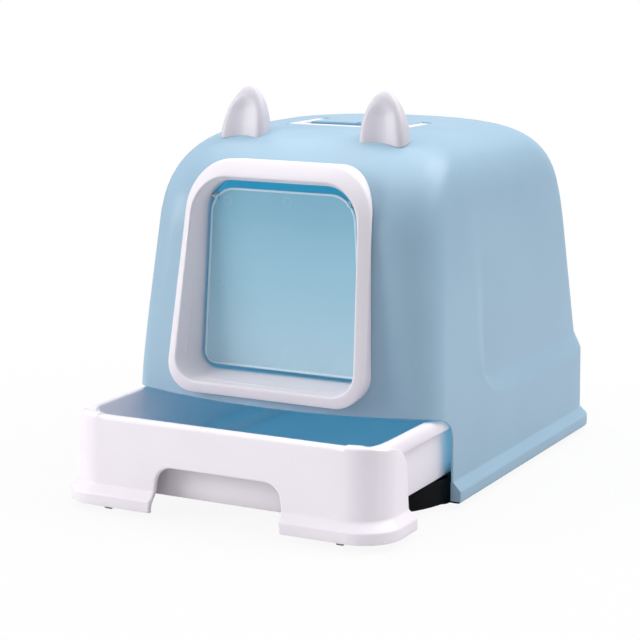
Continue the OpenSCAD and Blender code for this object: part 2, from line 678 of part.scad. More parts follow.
base_tray();
pad(1, pad_front_y);  // pad_front_left
pad(0, pad_front_y);  // pad_front_right
pad(1, pad_rear_y);  // pad_rear_left
pad(0, pad_rear_y);  // pad_rear_right
drawer_tray();
roller_axle(1);  // roller_axle_left
roller_axle(0);  // roller_axle_right
roller(1);  // roller_left
roller(0);  // roller_right
hood_shell();
entry_frame();
flap_pin(1);  // flap_pin_left
flap_pin(0);  // flap_pin_right
flap_panel();
ear_piece(1);  // ear_left
ear_piece(0);  // ear_right
ear_screw(1);  // ear_screw_left
ear_screw(0);  // ear_screw_right
handle_pin(1);  // handle_pin_left
handle_pin(0);  // handle_pin_right
carry_handle();
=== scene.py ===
import math

import bmesh
import bpy
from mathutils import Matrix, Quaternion, Vector


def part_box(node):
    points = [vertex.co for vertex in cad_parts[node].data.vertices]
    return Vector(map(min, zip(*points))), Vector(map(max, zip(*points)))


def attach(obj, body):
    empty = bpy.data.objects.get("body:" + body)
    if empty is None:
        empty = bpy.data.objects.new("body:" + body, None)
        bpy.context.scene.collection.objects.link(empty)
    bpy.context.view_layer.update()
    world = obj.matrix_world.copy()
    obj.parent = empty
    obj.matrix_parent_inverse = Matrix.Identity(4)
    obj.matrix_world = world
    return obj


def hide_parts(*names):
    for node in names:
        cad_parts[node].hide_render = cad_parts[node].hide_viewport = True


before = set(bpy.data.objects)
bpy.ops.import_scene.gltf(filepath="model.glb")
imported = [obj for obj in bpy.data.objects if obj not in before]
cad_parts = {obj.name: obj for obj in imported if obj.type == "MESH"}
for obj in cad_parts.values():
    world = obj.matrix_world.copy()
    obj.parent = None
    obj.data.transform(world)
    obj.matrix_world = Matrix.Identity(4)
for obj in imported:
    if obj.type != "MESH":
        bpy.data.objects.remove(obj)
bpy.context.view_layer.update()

# Drawer litter box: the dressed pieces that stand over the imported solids.
#
# Shapes are drawn in millimetres in the cover's own coordinates: x from the middle plane, y to the
# rear from the front end of the flange, z up from the cover's lower rim. settle() moves them into
# the object's frame, in metres. Finishes read the object's frame.

MM = 0.001
COVER_L, WALL = 441, 2.6
HOOD_LOW, HOOD_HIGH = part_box("hood_shell")
MIDDLE_Y = COVER_L - HOOD_HIGH.y / MM
RIM_Z = HOOD_LOW.z / MM
DRAWER_OPEN = 100

# Tunnel behind the entry, and the flap that hangs in it
ENTRY_LEAN = 0.059
TUNNEL_Z, TUNNEL_W, TUNNEL_H = 237.3, 197.2, 215.6
TUNNEL_TOP_R, TUNNEL_FOOT_R = 34, 20
FLAP_Y, FLAP_W, FLAP_H = -39, 189.6, 202
FLAP_TOP_R, FLAP_FOOT_R = 29, 15
FLAP_GAP, HINGE_DROP = 4.8, 10.7
FLAP_Z = TUNNEL_Z - TUNNEL_H / 2 + FLAP_GAP + FLAP_H / 2
HINGE_Z = FLAP_Z + FLAP_H / 2 - HINGE_DROP


def clamp01(v):
    return min(1.0, max(0.0, v))


def mix(a, b, t):
    return a + (b - a) * t


def ease(t):
    t = clamp01(t)
    return t * t * (3 - 2 * t)


def line_through(stops, v):
    """Value at v on a smooth line through (place, value) stops."""
    if v <= stops[0][0]:
        return stops[0][1]
    if v >= stops[-1][0]:
        return stops[-1][1]
    last = len(stops) - 1
    k = next(i for i in range(last) if v <= stops[i + 1][0])

    def slope(i):
        a, b = max(i - 1, 0), min(i + 1, last)
        return (stops[b][1] - stops[a][1]) / (stops[b][0] - stops[a][0])

    h = stops[k + 1][0] - stops[k][0]
    t = (v - stops[k][0]) / h
    return ((2 * t**3 - 3 * t * t + 1) * stops[k][1] + (t**3 - 2 * t * t + t) * h * slope(k)
            + (3 * t * t - 2 * t**3) * stops[k + 1][1] + (t**3 - t * t) * h * slope(k + 1))


# ---- Making and finishing meshes ---------------------------------------------------------------

RING_GAP = 0.0005


def lattice(columns, rows, spot):
    """Sheet of columns by rows quads whose corner (i, j) lies at spot(i, j)."""
    bm = bmesh.new()
    bmesh.ops.create_grid(bm, x_segments=columns, y_segments=rows, size=1)
    for v in bm.verts:
        v.co = spot(round((v.co.x + 1) / 2 * columns), round((v.co.y + 1) / 2 * rows))
    return bm


def joined(*meshes):
    """One mesh of several."""
    whole = meshes[0]
    for part in meshes[1:]:
        flat = bpy.data.meshes.new("loose")
        part.to_mesh(flat)
        part.free()
        whole.from_mesh(flat)
        bpy.data.meshes.remove(flat)
    return whole


def welded(bm, gap):
    """Merges points closer than gap."""
    bmesh.ops.remove_doubles(bm, verts=bm.verts[:], dist=gap)
    bmesh.ops.dissolve_degenerate(bm, edges=bm.edges[:], dist=gap / 3)
    return bm


def outward(bm):
    bmesh.ops.recalc_face_normals(bm, faces=bm.faces[:])
    return bm


def capped(bm):
    """Closes each open ring of edges."""
    bmesh.ops.holes_fill(bm, edges=[e for e in bm.edges if e.is_boundary], sides=0)
    return outward(bm)


def stacked(rings, closed=False):
    """Solid of point rings that follow each other; closed joins the last ring to the first."""
    n, m = len(rings[0]), len(rings)
    bm = lattice(n, m if closed else m - 1, lambda i, j: rings[j % m][i % n])
    welded(bm, RING_GAP)
    return outward(bm) if closed else capped(bm)


def pulled(bm, faces, step):
    """Solid that faces leave behind when they are pulled along step."""
    swept = bmesh.ops.extrude_face_region(bm, geom=faces)["geom"]
    corners = [g for g in swept if isinstance(g, bmesh.types.BMVert)]
    bmesh.ops.translate(bm, verts=corners, vec=step)
    return outward(bm)


def prism(outline, low, high, across=False):
    """Solid over a flat outline: upright from low to high, or laid along y where across is set."""
    bm = bmesh.new()
    spots = [(p[0], low, p[1]) if across else (p[0], p[1], low) for p in outline]
    face = bm.faces.new([bm.verts.new(p) for p in spots])
    return pulled(bm, [face], (0, high - low, 0) if across else (0, 0, high - low))


def loose_object(bm):
    flat = bpy.data.meshes.new("loose")
    bm.to_mesh(flat)
    bm.free()
    thing = bpy.data.objects.new("loose", flat)
    bpy.context.scene.collection.objects.link(thing)
    return thing


def combined(bm, tools, how="DIFFERENCE"):
    """bm with the tool solids taken away, or with another boolean."""
    work, helpers = loose_object(bm), [loose_object(t) for t in tools]
    for h in helpers:
        step = work.modifiers.new("carve", "BOOLEAN")
        step.solver, step.operation, step.object = "EXACT", how, h
    bpy.context.view_layer.update()
    carved = work.evaluated_get(bpy.context.evaluated_depsgraph_get())
    made = bpy.data.meshes.new_from_object(carved)
    out = bmesh.new()
    out.from_mesh(made)
    for thing in (work, *helpers):
        flat = thing.data
        bpy.data.objects.remove(thing)
        bpy.data.meshes.remove(flat)
    bpy.data.meshes.remove(made)
    return out


def soften(bm, width, least, segments=3):
    """Rounds every edge that turns by more than least degrees."""
    turn = math.radians(least)
    sharp = [e for e in bm.edges if len(e.link_faces) == 2 and e.calc_face_angle(0) > turn]
    bmesh.ops.bevel(bm, geom=sharp, offset=width, segments=segments, profile=0.5, affect="EDGES",
                    material=-1, clamp_overlap=True)
    return bm


def settle(bm, name, body, finish, stands_for, crease, slide=0.0):
    """Moves a mesh from the cover's coordinates to the object's frame and hands it over."""
    for v in bm.verts:
        v.co = (v.co.x * MM, (v.co.y - slide - MIDDLE_Y) * MM, (v.co.z + RIM_Z) * MM)
    return settle_placed(bm, name, body, finish, stands_for, crease)


def settle_placed(bm, name, body, finish, stands_for, crease):
    """Hands over a mesh that is in place; edges that turn by more than crease stay sharp."""
    flat = bpy.data.meshes.new(name)
    bm.to_mesh(flat)
    bm.free()
    for face in flat.polygons:
        face.use_smooth = True
    flat.set_sharp_from_angle(angle=math.radians(crease))
    flat.materials.append(finish)
    piece = bpy.data.objects.new(name, flat)
    bpy.context.scene.collection.objects.link(piece)
    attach(piece, body)
    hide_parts(*stands_for)
    return piece


# ---- Finishes ----------------------------------------------------------------------------------


class Wire:
    """A node's output, with arithmetic on numbers written as Python expressions."""

    def __init__(self, paint, socket):
        self.paint, self.socket = paint, socket

    def _math(self, how, a, b=None):
        given = {0: a} if b is None else {0: a, 1: b}
        return self.paint.node("ShaderNodeMath", {"operation": how}, given)

    def __add__(self, o):
        return self._math("ADD", self, o)

    __radd__ = __add__

    def __mul__(self, o):
        return self._math("MULTIPLY", self, o)

    __rmul__ = __mul__

    def __sub__(self, o):
        return self._math("SUBTRACT", self, o)

    def __rsub__(self, o):
        return self._math("SUBTRACT", o, self)

    def __abs__(self):
        return self._math("ABSOLUTE", self)

    def sqrt(self):
        return self._math("SQRT", self)

    def least(self, o):
        return self._math("MINIMUM", self, o)

    def most(self, o):
        return self._math("MAXIMUM", self, o)

    def between(self, low, high):
        """0 below low, 1 above high, smooth between them."""
        return self.paint.node("ShaderNodeMapRange", {"interpolation_type": "SMOOTHSTEP"},
                               {"Value": self, "From Min": low, "From Max": high})


class Paint:
    """One material: a Principled surface with nodes made by one method."""

    def __init__(self, name):
        self.material = bpy.data.materials.new(name)
        self.material.use_nodes = True
        self.tree = self.material.node_tree
        self.tree.nodes.clear()
        self.out = self.tree.nodes.new("ShaderNodeOutputMaterial")
        self.skin = self.tree.nodes.new("ShaderNodeBsdfPrincipled")
        self.tree.links.new(self.skin.outputs[0], self.out.inputs[0])
        self.place = self.node("ShaderNodeTexCoord", {}, {}, "Object")

    def node(self, kind, settings, given, output=0):
        made = self.tree.nodes.new(kind)
        for key, value in settings.items():
            setattr(made, key, value)
        for key, value in given.items():
            self.feed(made.inputs[key], value)
        return Wire(self, made.outputs[output])

    def feed(self, socket, value):
        if isinstance(value, Wire):
            self.tree.links.new(value.socket, socket)
        else:
            socket.default_value = value

    def set(self, **given):
        """Feeds the surface's sockets, named with underscores for their spaces."""
        for key, value in given.items():
            self.feed(self.skin.inputs[key.replace("_", " ")], value)

    def noise(self, scale, detail=2, rough=0.5):
        return self.node("ShaderNodeTexNoise", {}, {"Vector": self.place, "Scale": scale,
                                                    "Detail": detail, "Roughness": rough})

    def axes(self):
        split = self.tree.nodes.new("ShaderNodeSeparateXYZ")
        self.tree.links.new(self.place.socket, split.inputs[0])
        return [Wire(self, o) for o in split.outputs]

    def blend(self, share, a, b):
        """Colour a where share is 0, colour b where it is 1."""
        made = self.tree.nodes.new("ShaderNodeMix")
        made.data_type = "RGBA"
        for key, value in ((0, share), (6, a), (7, b)):
            self.feed(made.inputs[key], value)
        return Wire(self, made.outputs[2])

    def bump(self, height, depth):
        self.set(Normal=self.node("ShaderNodeBump", {}, {"Height": height, "Distance": depth,
                                                         "Strength": 1.0}))

    def show_both(self, share, first, second):
        """Shows two shaders mixed, in place of the plain surface."""
        both = self.node("ShaderNodeMixShader", {}, {0: share, 1: first, 2: second})
        self.feed(self.out.inputs[0], both)


def plain(colour):
    """Linear RGBA of an sRGB colour given from 0 to 255."""
    return tuple((c / 255 / 12.92) if c <= 10.31 else ((c / 255 + 0.055) / 1.055) ** 2.4
                 for c in colour) + (1.0,)


def moulded(name, deep, lit, shine, coat, mirror=0.42):
    """Injection moulded plastic: faint mottling, fine skin texture and slow waves in the gloss."""
    p = Paint(name)
    slow, fine = p.noise(9), p.noise(900, rough=0.6)
    p.set(Base_Color=p.blend(slow.between(0.3, 0.7), plain(deep), plain(lit)),
          Roughness=shine + 0.05 * (fine - 0.5) + 0.05 * (slow - 0.5), IOR=1.49,
          Coat_Weight=coat, Coat_Roughness=0.12, Specular_IOR_Level=mirror)
    p.bump(fine * 0.25 + slow * 1.5, 0.00006)
    return p


hood_blue = moulded("hood_blue_plastic", (148, 178, 198), (152, 182, 201), 0.42, 0.1).material
gloss_white = moulded("gloss_white_plastic", (231, 225, 230), (234, 229, 233), 0.36, 0.05,
                      mirror=0.2).material
# The ears get a darker copy of the white plastic: painted shade for their front faces.
ear_shaded_white = moulded("ear_white_painted_shade", (208, 204, 211), (212, 208, 215), 0.36, 0.08,
                    mirror=0.3).material
base_black = moulded("base_black_plastic", (6, 7, 10), (10, 11, 14), 0.6, 0.0,
                     mirror=0.12).material
wheel_grey = moulded("wheel_grey_plastic", (190, 196, 186), (200, 205, 195), 0.5, 0.0).material


def cover_inner_glow():
    """The cover's inner side, with a painted glow (emission) that stands in for the daylight which
    the wall lets through.
    """
    p = moulded("cover_inner_painted_glow", (142, 182, 206), (148, 187, 210), 0.5, 0.0)
    even = p.blend(p.noise(5), (0.01, 0.13, 0.185, 1), (0.016, 0.15, 0.21, 1))
    # The painted glow is stronger low down, where less light reaches from the entry
    above = p.axes()[2].between(0.19, 0.26)
    p.set(Emission_Color=p.blend(above, (0.055, 0.24, 0.33, 1), even), Emission_Strength=1.0)
    return p.material


def recess_glow():
    """Walls of the handle's recess, with a painted glow (emission) that stands in for daylight
    shining through the thin walls.
    """
    p = moulded("recess_painted_glow", (151, 183, 203), (155, 187, 206), 0.45, 0.0)
    p.set(Emission_Color=p.blend(p.noise(12), (0.045, 0.14, 0.21, 1), (0.06, 0.16, 0.23, 1)),
          Emission_Strength=1.0)
    return p.material


cover_inside, recess_blue = cover_inner_glow(), recess_glow()

SEAM_X, SEAM_BACK = 0.1826, -0.2895


def drawer_finish():
    p = moulded("drawer_white_plastic", (243, 235, 241), (246, 239, 244), 0.3, 0.12, mirror=0.3)
    x, y = p.axes()[:2]
    # The mould's split line down each front corner is painted as a pale hair line: a painted
    # highlight along the real parting line
    seam_highlight = 1 - abs(abs(x) - SEAM_X).between(0.0001, 0.0006)
    front = 1 - y.between(SEAM_BACK - 0.001, SEAM_BACK)
    colour = Wire(p, p.skin.inputs["Base Color"].links[0].from_socket)
    p.set(Base_Color=p.blend(seam_highlight * front * 0.3, colour, plain((250, 246, 250))))
    return p.material


drawer_white = drawer_finish()

# Ejector marks on the flap: their middles as x and z, and the radius of their rings in metres
EJECTORS, EJECTOR_R = ((-69.4, 320.8), (6.3, 324.3), (-80.4, 229.6), (5.1, 153.1)), 0.0048


def flap_finish():
    """Frosted clear pane with four faint ejector rings; its raised rim carries a painted highlight,
    and painted light from behind makes it paler low down.
    """
    p = Paint("frosted_clear_plastic")
    x, _, z = p.axes()
    fine, slow = p.noise(1400, rough=0.6), p.noise(14)
    rings = None
    for px, pz in EJECTORS:
        dx, dz = x - px * MM, z - (pz + RIM_Z) * MM
        off = abs((dx * dx + dz * dz).sqrt() - EJECTOR_R)
        ring = 1 - off.between(0.0002, 0.0009)
        rings = ring if rings is None else rings.most(ring)
    # Distance from the pane's outline, which leans in and has larger corners at the top
    up = z - (FLAP_Z + RIM_Z) * MM
    corner = FLAP_FOOT_R * MM + (FLAP_TOP_R - FLAP_FOOT_R) * MM * up.between(-0.01, 0.01)
    wide = abs(x) + ENTRY_LEAN * up - FLAP_W / 2 * MM + corner
    tall = abs(up) - FLAP_H / 2 * MM + corner
    over = (wide.most(0) * wide.most(0) + tall.most(0) * tall.most(0)).sqrt()
    rim = over + wide.most(tall).least(0) - corner + 0.0017
    bead = 1 - abs(rim).between(0.0006, 0.0017)
    # Painted light from behind the pane: paler low down, bluer towards the top
    low = p.blend(up.between(-0.1, 0.02), plain((194, 226, 238)), plain((170, 213, 228)))
    painted_backlight = p.blend(up.between(0, 0.1), low, plain((146, 197, 217)))
    # The ejector rings and mottling are the pane's own marks; the paler rim bead is a painted
    # highlight
    marks_and_rim_highlight = rings * 0.16 + bead * 0.5 + (slow - 0.5) * 0.1
    p.set(Base_Color=p.blend(marks_and_rim_highlight, painted_backlight, plain((226, 238, 246))),
          Roughness=0.34 + 0.08 * (fine - 0.5) - rings * 0.08, IOR=1.45, Specular_IOR_Level=0.5)
    p.bump(fine * 0.2 + rings, 0.0002)
    # The pane lets through part of what lies behind it
    clear = p.node("ShaderNodeBsdfTransparent", {}, {0: (0.86, 0.93, 0.97, 1)})
    p.show_both(0.74 + rings * 0.06 + bead * 0.2 + (fine - 0.5) * 0.04,
                clear, Wire(p, p.skin.outputs[0]))
    return p.material


frosted = flap_finish()


def steel_finish():
    p = Paint("turned_steel")
    fine, slow = p.noise(2500, rough=0.6), p.noise(300)
    p.set(Base_Color=p.blend(slow, plain((176, 178, 182)), plain((206, 208, 211))),
          Roughness=0.24 + 0.12 * (fine - 0.5), Metallic=1.0)
    p.bump(fine, 0.00002)
    return p.material


def rubber_finish():
    p = Paint("pad_rubber")
    fine, slow = p.noise(1800, 3, 0.7), p.noise(60)
    p.set(Base_Color=p.blend(slow, plain((22, 23, 26)), plain((34, 35, 38))),
          Roughness=0.78 + 0.1 * (fine - 0.5))
    p.bump(fine, 0.00006)
    return p.material


steel, rubber = steel_finish(), rubber_finish()


# ---- Cover -------------------------------------------------------------------------------------

HALF_W, COVER_H, CROWN = 190.6, 392, 4
FLANGE_OUT, FLANGE_BAND, FLANGE_TOP = 9.4, 12, 22
FRONT_REACH, FRONT_FOOT, BOW = 84, 102, 0.001
LEAN = math.tan(math.radians(8.2))
# Radius and fullness of each wall's turn into the roof
SIDE_TURN, REAR_TURN, FRONT_TURN = (90, 3.2), (141, 2.6), (95, 1.8)
# Radii of the plan's corners, at the foot and at the roof
FRONT_CORNER, REAR_CORNER = (38, 65), (32, 108)
# Draw of the walls: low down, and what is added above DRAW_FROM
LOW_DRAW, SIDE_DRAW, REAR_DRAW, DRAW_FROM = 0.012, 0.04, 0.023, 120
# Edge over the drawer's mouth: lowest point, rise and run of its curve, and where levels are even
MOUTH_LOW, MOUTH_RISE, MOUTH_RUN, MOUTH_BLEND = 72, 30, 60, 135


def roof_draw(z, r, p):
    """How far a wall has turned in at level z on its way into the roof."""
    t = (z - COVER_H + r) / r
    return 0 if t <= 0 else r * (1 - max(0, 1 - t**p) ** (1 / p))


def low_draw(z):
    return LOW_DRAW * min(max(0, z - FLANGE_TOP), 100)


def side_x(z):
    return (HALF_W - low_draw(z) - SIDE_DRAW * max(0, z - DRAW_FROM)
            - roof_draw(z, *SIDE_TURN))


def rear_y(z):
    return (COVER_L - FLANGE_OUT - low_draw(z) - REAR_DRAW * max(0, z - DRAW_FROM)
            - roof_draw(z, *REAR_TURN))


def front_y(z):
    return -FRONT_REACH + LEAN * max(0, z - FRONT_FOOT) + roof_draw(z, *FRONT_TURN)


def crown(x):
    """How far a level is lifted where the walls stand x from the middle."""
    return CROWN * (1 - (x / HALF_W) ** 2)


def level_share(z):
    """0 at the front's foot, 1 at the roof."""
    return clamp01((z - FRONT_FOOT) / (COVER_H - FRONT_FOOT))


def corner_radius(ends, half, share):
    return min(mix(*ends, share), 0.9 * half)


def front_bow(share):
    """Bow of the front wall, by the square of the distance from the middle."""
    return BOW * (1 - share)


def plan(part, s, z):
    """Point and outward direction of the cover's plan at level z, s of the way along a part."""
    a, yf, yr, share = side_x(z), front_y(z), rear_y(z), level_share(z)
    rf, rr = corner_radius(FRONT_CORNER, a, share), corner_radius(REAR_CORNER, a, share)
    bow, tilt = front_bow(share), 0.0
    for _ in range(4):
        xs = a - rf + rf * math.sin(tilt)
        tilt = math.atan(2 * bow * xs)
    cy = yf + bow * xs * xs + rf * math.cos(tilt)
    if part == "front":
        x = xs * s
        slope = 2 * bow * x
        n = math.hypot(slope, 1)
        return x, yf + bow * x * x, slope / n, -1 / n
    if part == "front corner":
        q = mix(tilt, math.pi / 2, s)
        return a - rf + rf * math.sin(q), cy - rf * math.cos(q), math.sin(q), -math.cos(q)
    if part == "side":
        return a, mix(cy, yr - rr, s), 1, 0
    if part == "rear corner":
        q = math.pi / 2 * s
        return a - rr + rr * math.cos(q), yr - rr + rr * math.sin(q), math.cos(q), math.sin(q)
    return (a - rr) * (1 - s), yr, 0, 1


# Lower and upper border of the ledge along the depth; it turns up and runs out at its front end
LEDGE_LOW = [(78, 154), (80, 145), (83.5, 133.8), (91, 121), (101.8, 109.8), (116, 101),
             (133.6, 95.5), (160, 91.5), (198, 90), (300, 92), (430, 96)]
LEDGE_HIGH = [(78, 156), (80.3, 151.3), (84, 145), (89.8, 137.7), (96, 131.5), (105.5, 125.3),
              (118, 121.8), (136.8, 120.2), (200, 120.5), (300, 121.5), (430, 123)]
SIDE_LEDGE = 7.6
# Depth at which the ledge fades in, and height over which the wall in front of it draws in
LEDGE_FROM, LEDGE_FADE = 74, 34
FRONT_DRAW_FROM, FRONT_DRAW_RUN = 98, 235


def soft_ramp(t, r=0.06):
    """Ramp from 0 to 1 with rounded ends."""
    if t <= -r or t >= 1 + r:
        return 0.0 if t < 0 else 1.0
    if t < r:
        return (t + r) ** 2 / (4 * r)
    if t > 1 - r:
        return 1 - (1 + r - t) ** 2 / (4 * r)
    return t


def ledge_depth(y, z):
    """How far the wall stands in: all at once over the ledge, little by little in front of it."""
    front = SIDE_LEDGE * ease((z - FRONT_DRAW_FROM) / FRONT_DRAW_RUN)
    low, high = line_through(LEDGE_LOW, y), line_through(LEDGE_HIGH, y)
    full = SIDE_LEDGE * soft_ramp(((z - low) / max(high - low, 1.5) - 0.12) / 0.76)
    return mix(front, full, ease((y - LEDGE_FROM) / LEDGE_FADE))


def flange_share(z):
    """1 on the flange's band, 0 above its top, with both turns rounded."""
    def at(h):
        return 1 - clamp01((h - FLANGE_BAND) / (FLANGE_TOP - FLANGE_BAND))
    return (at(z - 0.8) + at(z) + at(z + 0.8)) / 3


def cover_spot(part, s, z, flange):
    x, y, nx, ny = plan(part, s, z)
    out = FLANGE_OUT * flange_share(z) if flange else 0
    d = ledge_depth(y, z) * (nx if ny < 0 else 1) - out
    return x - nx * d, y - ny * d, z + crown(side_x(z))


def mouth_height(y):
    """Height of the cover's lower edge over the drawer's mouth."""
    if y <= -MOUTH_RUN:
        return FRONT_FOOT
    return MOUTH_LOW + MOUTH_RISE * math.sqrt(max(0, 1 - ((y + MOUTH_RUN) / MOUTH_RUN) ** 2))


def roof_height(x, y):
    """Height of the roof above a point near the front."""
    low, high = COVER_H - FRONT_TURN[0], COVER_H
    for _ in range(18):
        z = (low + high) / 2
        a, yf, share = side_x(z), front_y(z), level_share(z)
        rf, bow = corner_radius(FRONT_CORNER, a, share), front_bow(share)
        xs = a - rf
        ys = yf + bow * xs * xs + rf
        within = (x < a if y > ys else y > yf + bow * x * x if x < xs
                  else math.hypot(x - xs, ys - y) < rf)
        low, high = (z, high) if within else (low, z)
    return low + crown(side_x(low))


ROUND_STEPS, EDGE_STEPS = 12, 10


def quarter(cx, cy, r, start):
    """Quarter turn to the left about (cx, cy), from start degrees on."""
    turns = [math.radians(start + 90 * i / ROUND_STEPS) for i in range(ROUND_STEPS + 1)]
    return [(cx + r * math.cos(q), cy + r * math.sin(q)) for q in turns]


def rounded(x, y0, y1, r0, r1):
    """Rectangle x wide to each side with its own corner radius at each end, turning left."""
    return (quarter(x - r0, y0 + r0, r0, 270) + quarter(x - r1, y1 - r1, r1, 0)
            + quarter(r1 - x, y1 - r1, r1, 90) + quarter(r0 - x, y0 + r0, r0, 180))


def entry_outline(hw, hh, rt, rb, lean=ENTRY_LEAN):
    """Rectangle with round corners whose sides lean in towards the top."""
    corners = [quarter(sx * (hw - r), sz * (hh - r), r, start) for sx, sz, r, start in (
        (1, -1, rb, 270), (1, 1, rt, 0), (-1, 1, rt, 90), (-1, -1, rb, 180))]
    out = []
    for k in range(4):
        a, b = corners[k][-1], corners[(k + 1) % 4][0]
        steps = [i / EDGE_STEPS for i in range(1, EDGE_STEPS)]
        out += corners[k] + [(mix(a[0], b[0], t), mix(a[1], b[1], t)) for t in steps]
    return [(x * (1 - lean * z / hw), z) for x, z in out]


HANDLE_Z, HANDLE_W, HANDLE_BAR, HANDLE_GAP = 388.6, 148, 13, 0.6
RECESS_X, ISLAND_X = HANDLE_W / 2 + HANDLE_GAP, HANDLE_W / 2 - HANDLE_BAR - HANDLE_GAP
RECESS_FRONT, RECESS_BACK, RECESS_FLOOR = 100, 194, HANDLE_Z - HANDLE_GAP
WELL_BACK, WELL_FLOOR = 143, HANDLE_Z - 16
NOTCH_X, NOTCH_BACK = 2, 153
OPEN_AIR, LINER_TOP = 420, 393.8


def recess_tools():
    """Solids of the handle's recess, its finger well and the notch behind the well."""
    arms = prism(rounded(RECESS_X, RECESS_FRONT, RECESS_BACK, 9, 4), RECESS_FLOOR, OPEN_AIR)
    island = prism(rounded(ISLAND_X, WELL_BACK, 240, 3, 3), RECESS_FLOOR - 1, OPEN_AIR + 1)
    well = prism(rounded(ISLAND_X, RECESS_FRONT, WELL_BACK, 7, 5), WELL_FLOOR, OPEN_AIR)
    notch = prism([(-NOTCH_X, WELL_BACK - 1), (NOTCH_X, WELL_BACK - 1), (NOTCH_X, NOTCH_BACK),
                   (-NOTCH_X, NOTCH_BACK)], RECESS_FLOOR, OPEN_AIR)
    return [combined(arms, [island]), well, notch]


def recess_liner():
    """Walls and floor under the roof that hold the recess and the well."""
    liner = prism(rounded(RECESS_X + WALL, RECESS_FRONT - WALL, RECESS_BACK + WALL, 10, 6),
                  RECESS_FLOOR - WALL, LINER_TOP)
    well = prism(rounded(ISLAND_X + WALL, RECESS_FRONT - WALL, WELL_BACK + WALL, 8, 8),
                 WELL_FLOOR - WALL, RECESS_FLOOR)
    return combined(combined(liner, [well], "UNION"), recess_tools())


def flange_ends():
    """Plates that close the flange's front ends."""
    inset, top = 0.4, FLANGE_TOP - 0.2
    inner, outer = HALF_W - WALL - inset, HALF_W + FLANGE_OUT - inset
    edge = [(inner, 0), (outer, 0), (outer, FLANGE_BAND), (HALF_W - inset, top), (inner, top)]
    return [soften(prism([(side * x, z) for x, z in edge], 0.3, WALL, True), 0.5, 40, 2)
            for side in (1, -1)]


def cover_sheets():
    """Front and rear half of the cover's outer skin, as one open sheet."""
    shoulder = COVER_H - SIDE_TURN[0]
    shared = [MOUTH_LOW + 2 * i for i in range(45)]
    shared += [mix(160, shoulder, i / 16) for i in range(1, 17)]
    for i in range(1, 35):
        q = math.pi / 2 * (1 - (1 - i / 34) ** 1.5)
        shared.append(shoulder + SIDE_TURN[0] * math.sin(q) ** 0.625)
    shared[-1] = COVER_H
    low = [0, 5, 10.2, 11.2, 12, 12.8, 13.8, 17, 20.2, 21.2, 22, 22.8, 23.8, 30, 40, 50, 60, 66]
    closing = [1 - i / 13 for i in range(1, 14)]

    # Columns: the halves meet where the flange starts, at y = 0
    cy, ye = (plan("side", s, 50)[1] for s in (0, 1))
    start = (0 - cy) / (ye - cy)
    front = ([("front", i / 24) for i in range(24)] + [("front corner", i / 18) for i in range(18)]
             + [("side", start * i / 9) for i in range(10)])
    depths = ([0, 5, 11, 18, 26, 35, 44, 53, 61, 67] + [72 + 2.6 * i for i in range(27)]
              + [147, 155, 165, 177, 190, 206, 224, 244, 266, 290, 316, 342, 366, 384])
    rear = ([("side", (y - cy) / (ye - cy)) for y in depths]
            + [("rear corner", i / 18) for i in range(18)] + [("rear", i / 12) for i in range(13)])
    seats = {}

    def seated(part, s, z):
        """Level z of the front half, moved so that the lowest one is the edge over the mouth."""
        if (part, s) not in seats:
            foot = 80.0
            for _ in range(6):
                foot = mouth_height(plan(part, s, foot)[1])
            seats[part, s] = float(MOUTH_LOW) if (part, s) == front[-1] else foot
        seat = seats[part, s]
        return seat + (z - MOUTH_LOW) * (MOUTH_BLEND - seat) / (MOUTH_BLEND - MOUTH_LOW)

    def stack(row, heights, flange):
        def spot(i, j):
            (part, s), side = row[i]
            if j < len(heights):
                z = heights[j]
                if not flange and z < MOUTH_BLEND:
                    z = seated(part, s, z)
                x, y, h = cover_spot(part, s, z, flange)
                return side * x, y, h
            k = closing[j - len(heights)]
            x, y, h = cover_spot(part, s, COVER_H, flange)
            ym = (front_y(COVER_H) + rear_y(COVER_H)) / 2
            return side * x * k, ym + (y - ym) * k, COVER_H + crown(side_x(COVER_H) * k)
        return lattice(len(row) - 1, len(heights) + len(closing) - 1, spot)

    front_row = [(c, -1) for c in front[::-1]] + [(c, 1) for c in front[1:]]
    rear_row = [(c, 1) for c in rear] + [(c, -1) for c in rear[-2::-1]]
    return joined(stack(front_row, shared, False), stack(rear_row, low + shared, True))


def paint_cover(cover):
    """Gives the cover's inner side and the recess their own finishes, which carry a painted glow.
    """
    outside, inside, recess = range(3)
    cover.data.materials.append(cover_inside)
    cover.data.materials.append(recess_blue)
    middle = Vector((0, (HOOD_LOW.y + HOOD_HIGH.y) / 2, 0.16))
    margin = 0.3
    near = Vector((-RECESS_X - margin, RECESS_FRONT - margin - MIDDLE_Y, WELL_FLOOR - 1 + RIM_Z))
    far = Vector((RECESS_X + margin, RECESS_BACK + margin - MIDDLE_Y, COVER_H - 0.4 + RIM_Z))
    for face in cover.data.polygons:
        spans = zip(near * MM, face.center, far * MM)
        if face.normal.z > -0.5 and all(low < c < high for low, c, high in spans):
            face.material_index = recess
        else:
            looks_in = face.normal.dot(middle - face.center) > 0.02
            face.material_index = inside if looks_in else outside


def make_cover():
    bm = outward(welded(cover_sheets(), 0.05))
    bmesh.ops.solidify(bm, geom=bm.faces[:], thickness=WALL)
    soften(bm, 0.8, 62)
    # The frame covers the hole's edge
    grown = 11
    hole = prism(entry_outline(TUNNEL_W / 2 + grown, TUNNEL_H / 2 + grown, 30, 20), -300, 20, True)
    bmesh.ops.translate(hole, verts=hole.verts[:], vec=(0, 0, TUNNEL_Z))
    bm = combined(bm, [hole, *recess_tools()])
    bm = joined(bm, recess_liner(), *flange_ends())
    cover = settle(bm, "cover_shell", "cover", hood_blue, ["hood_shell"], 32)
    paint_cover(cover)


# ---- Entry frame and flap ----------------------------------------------------------------------

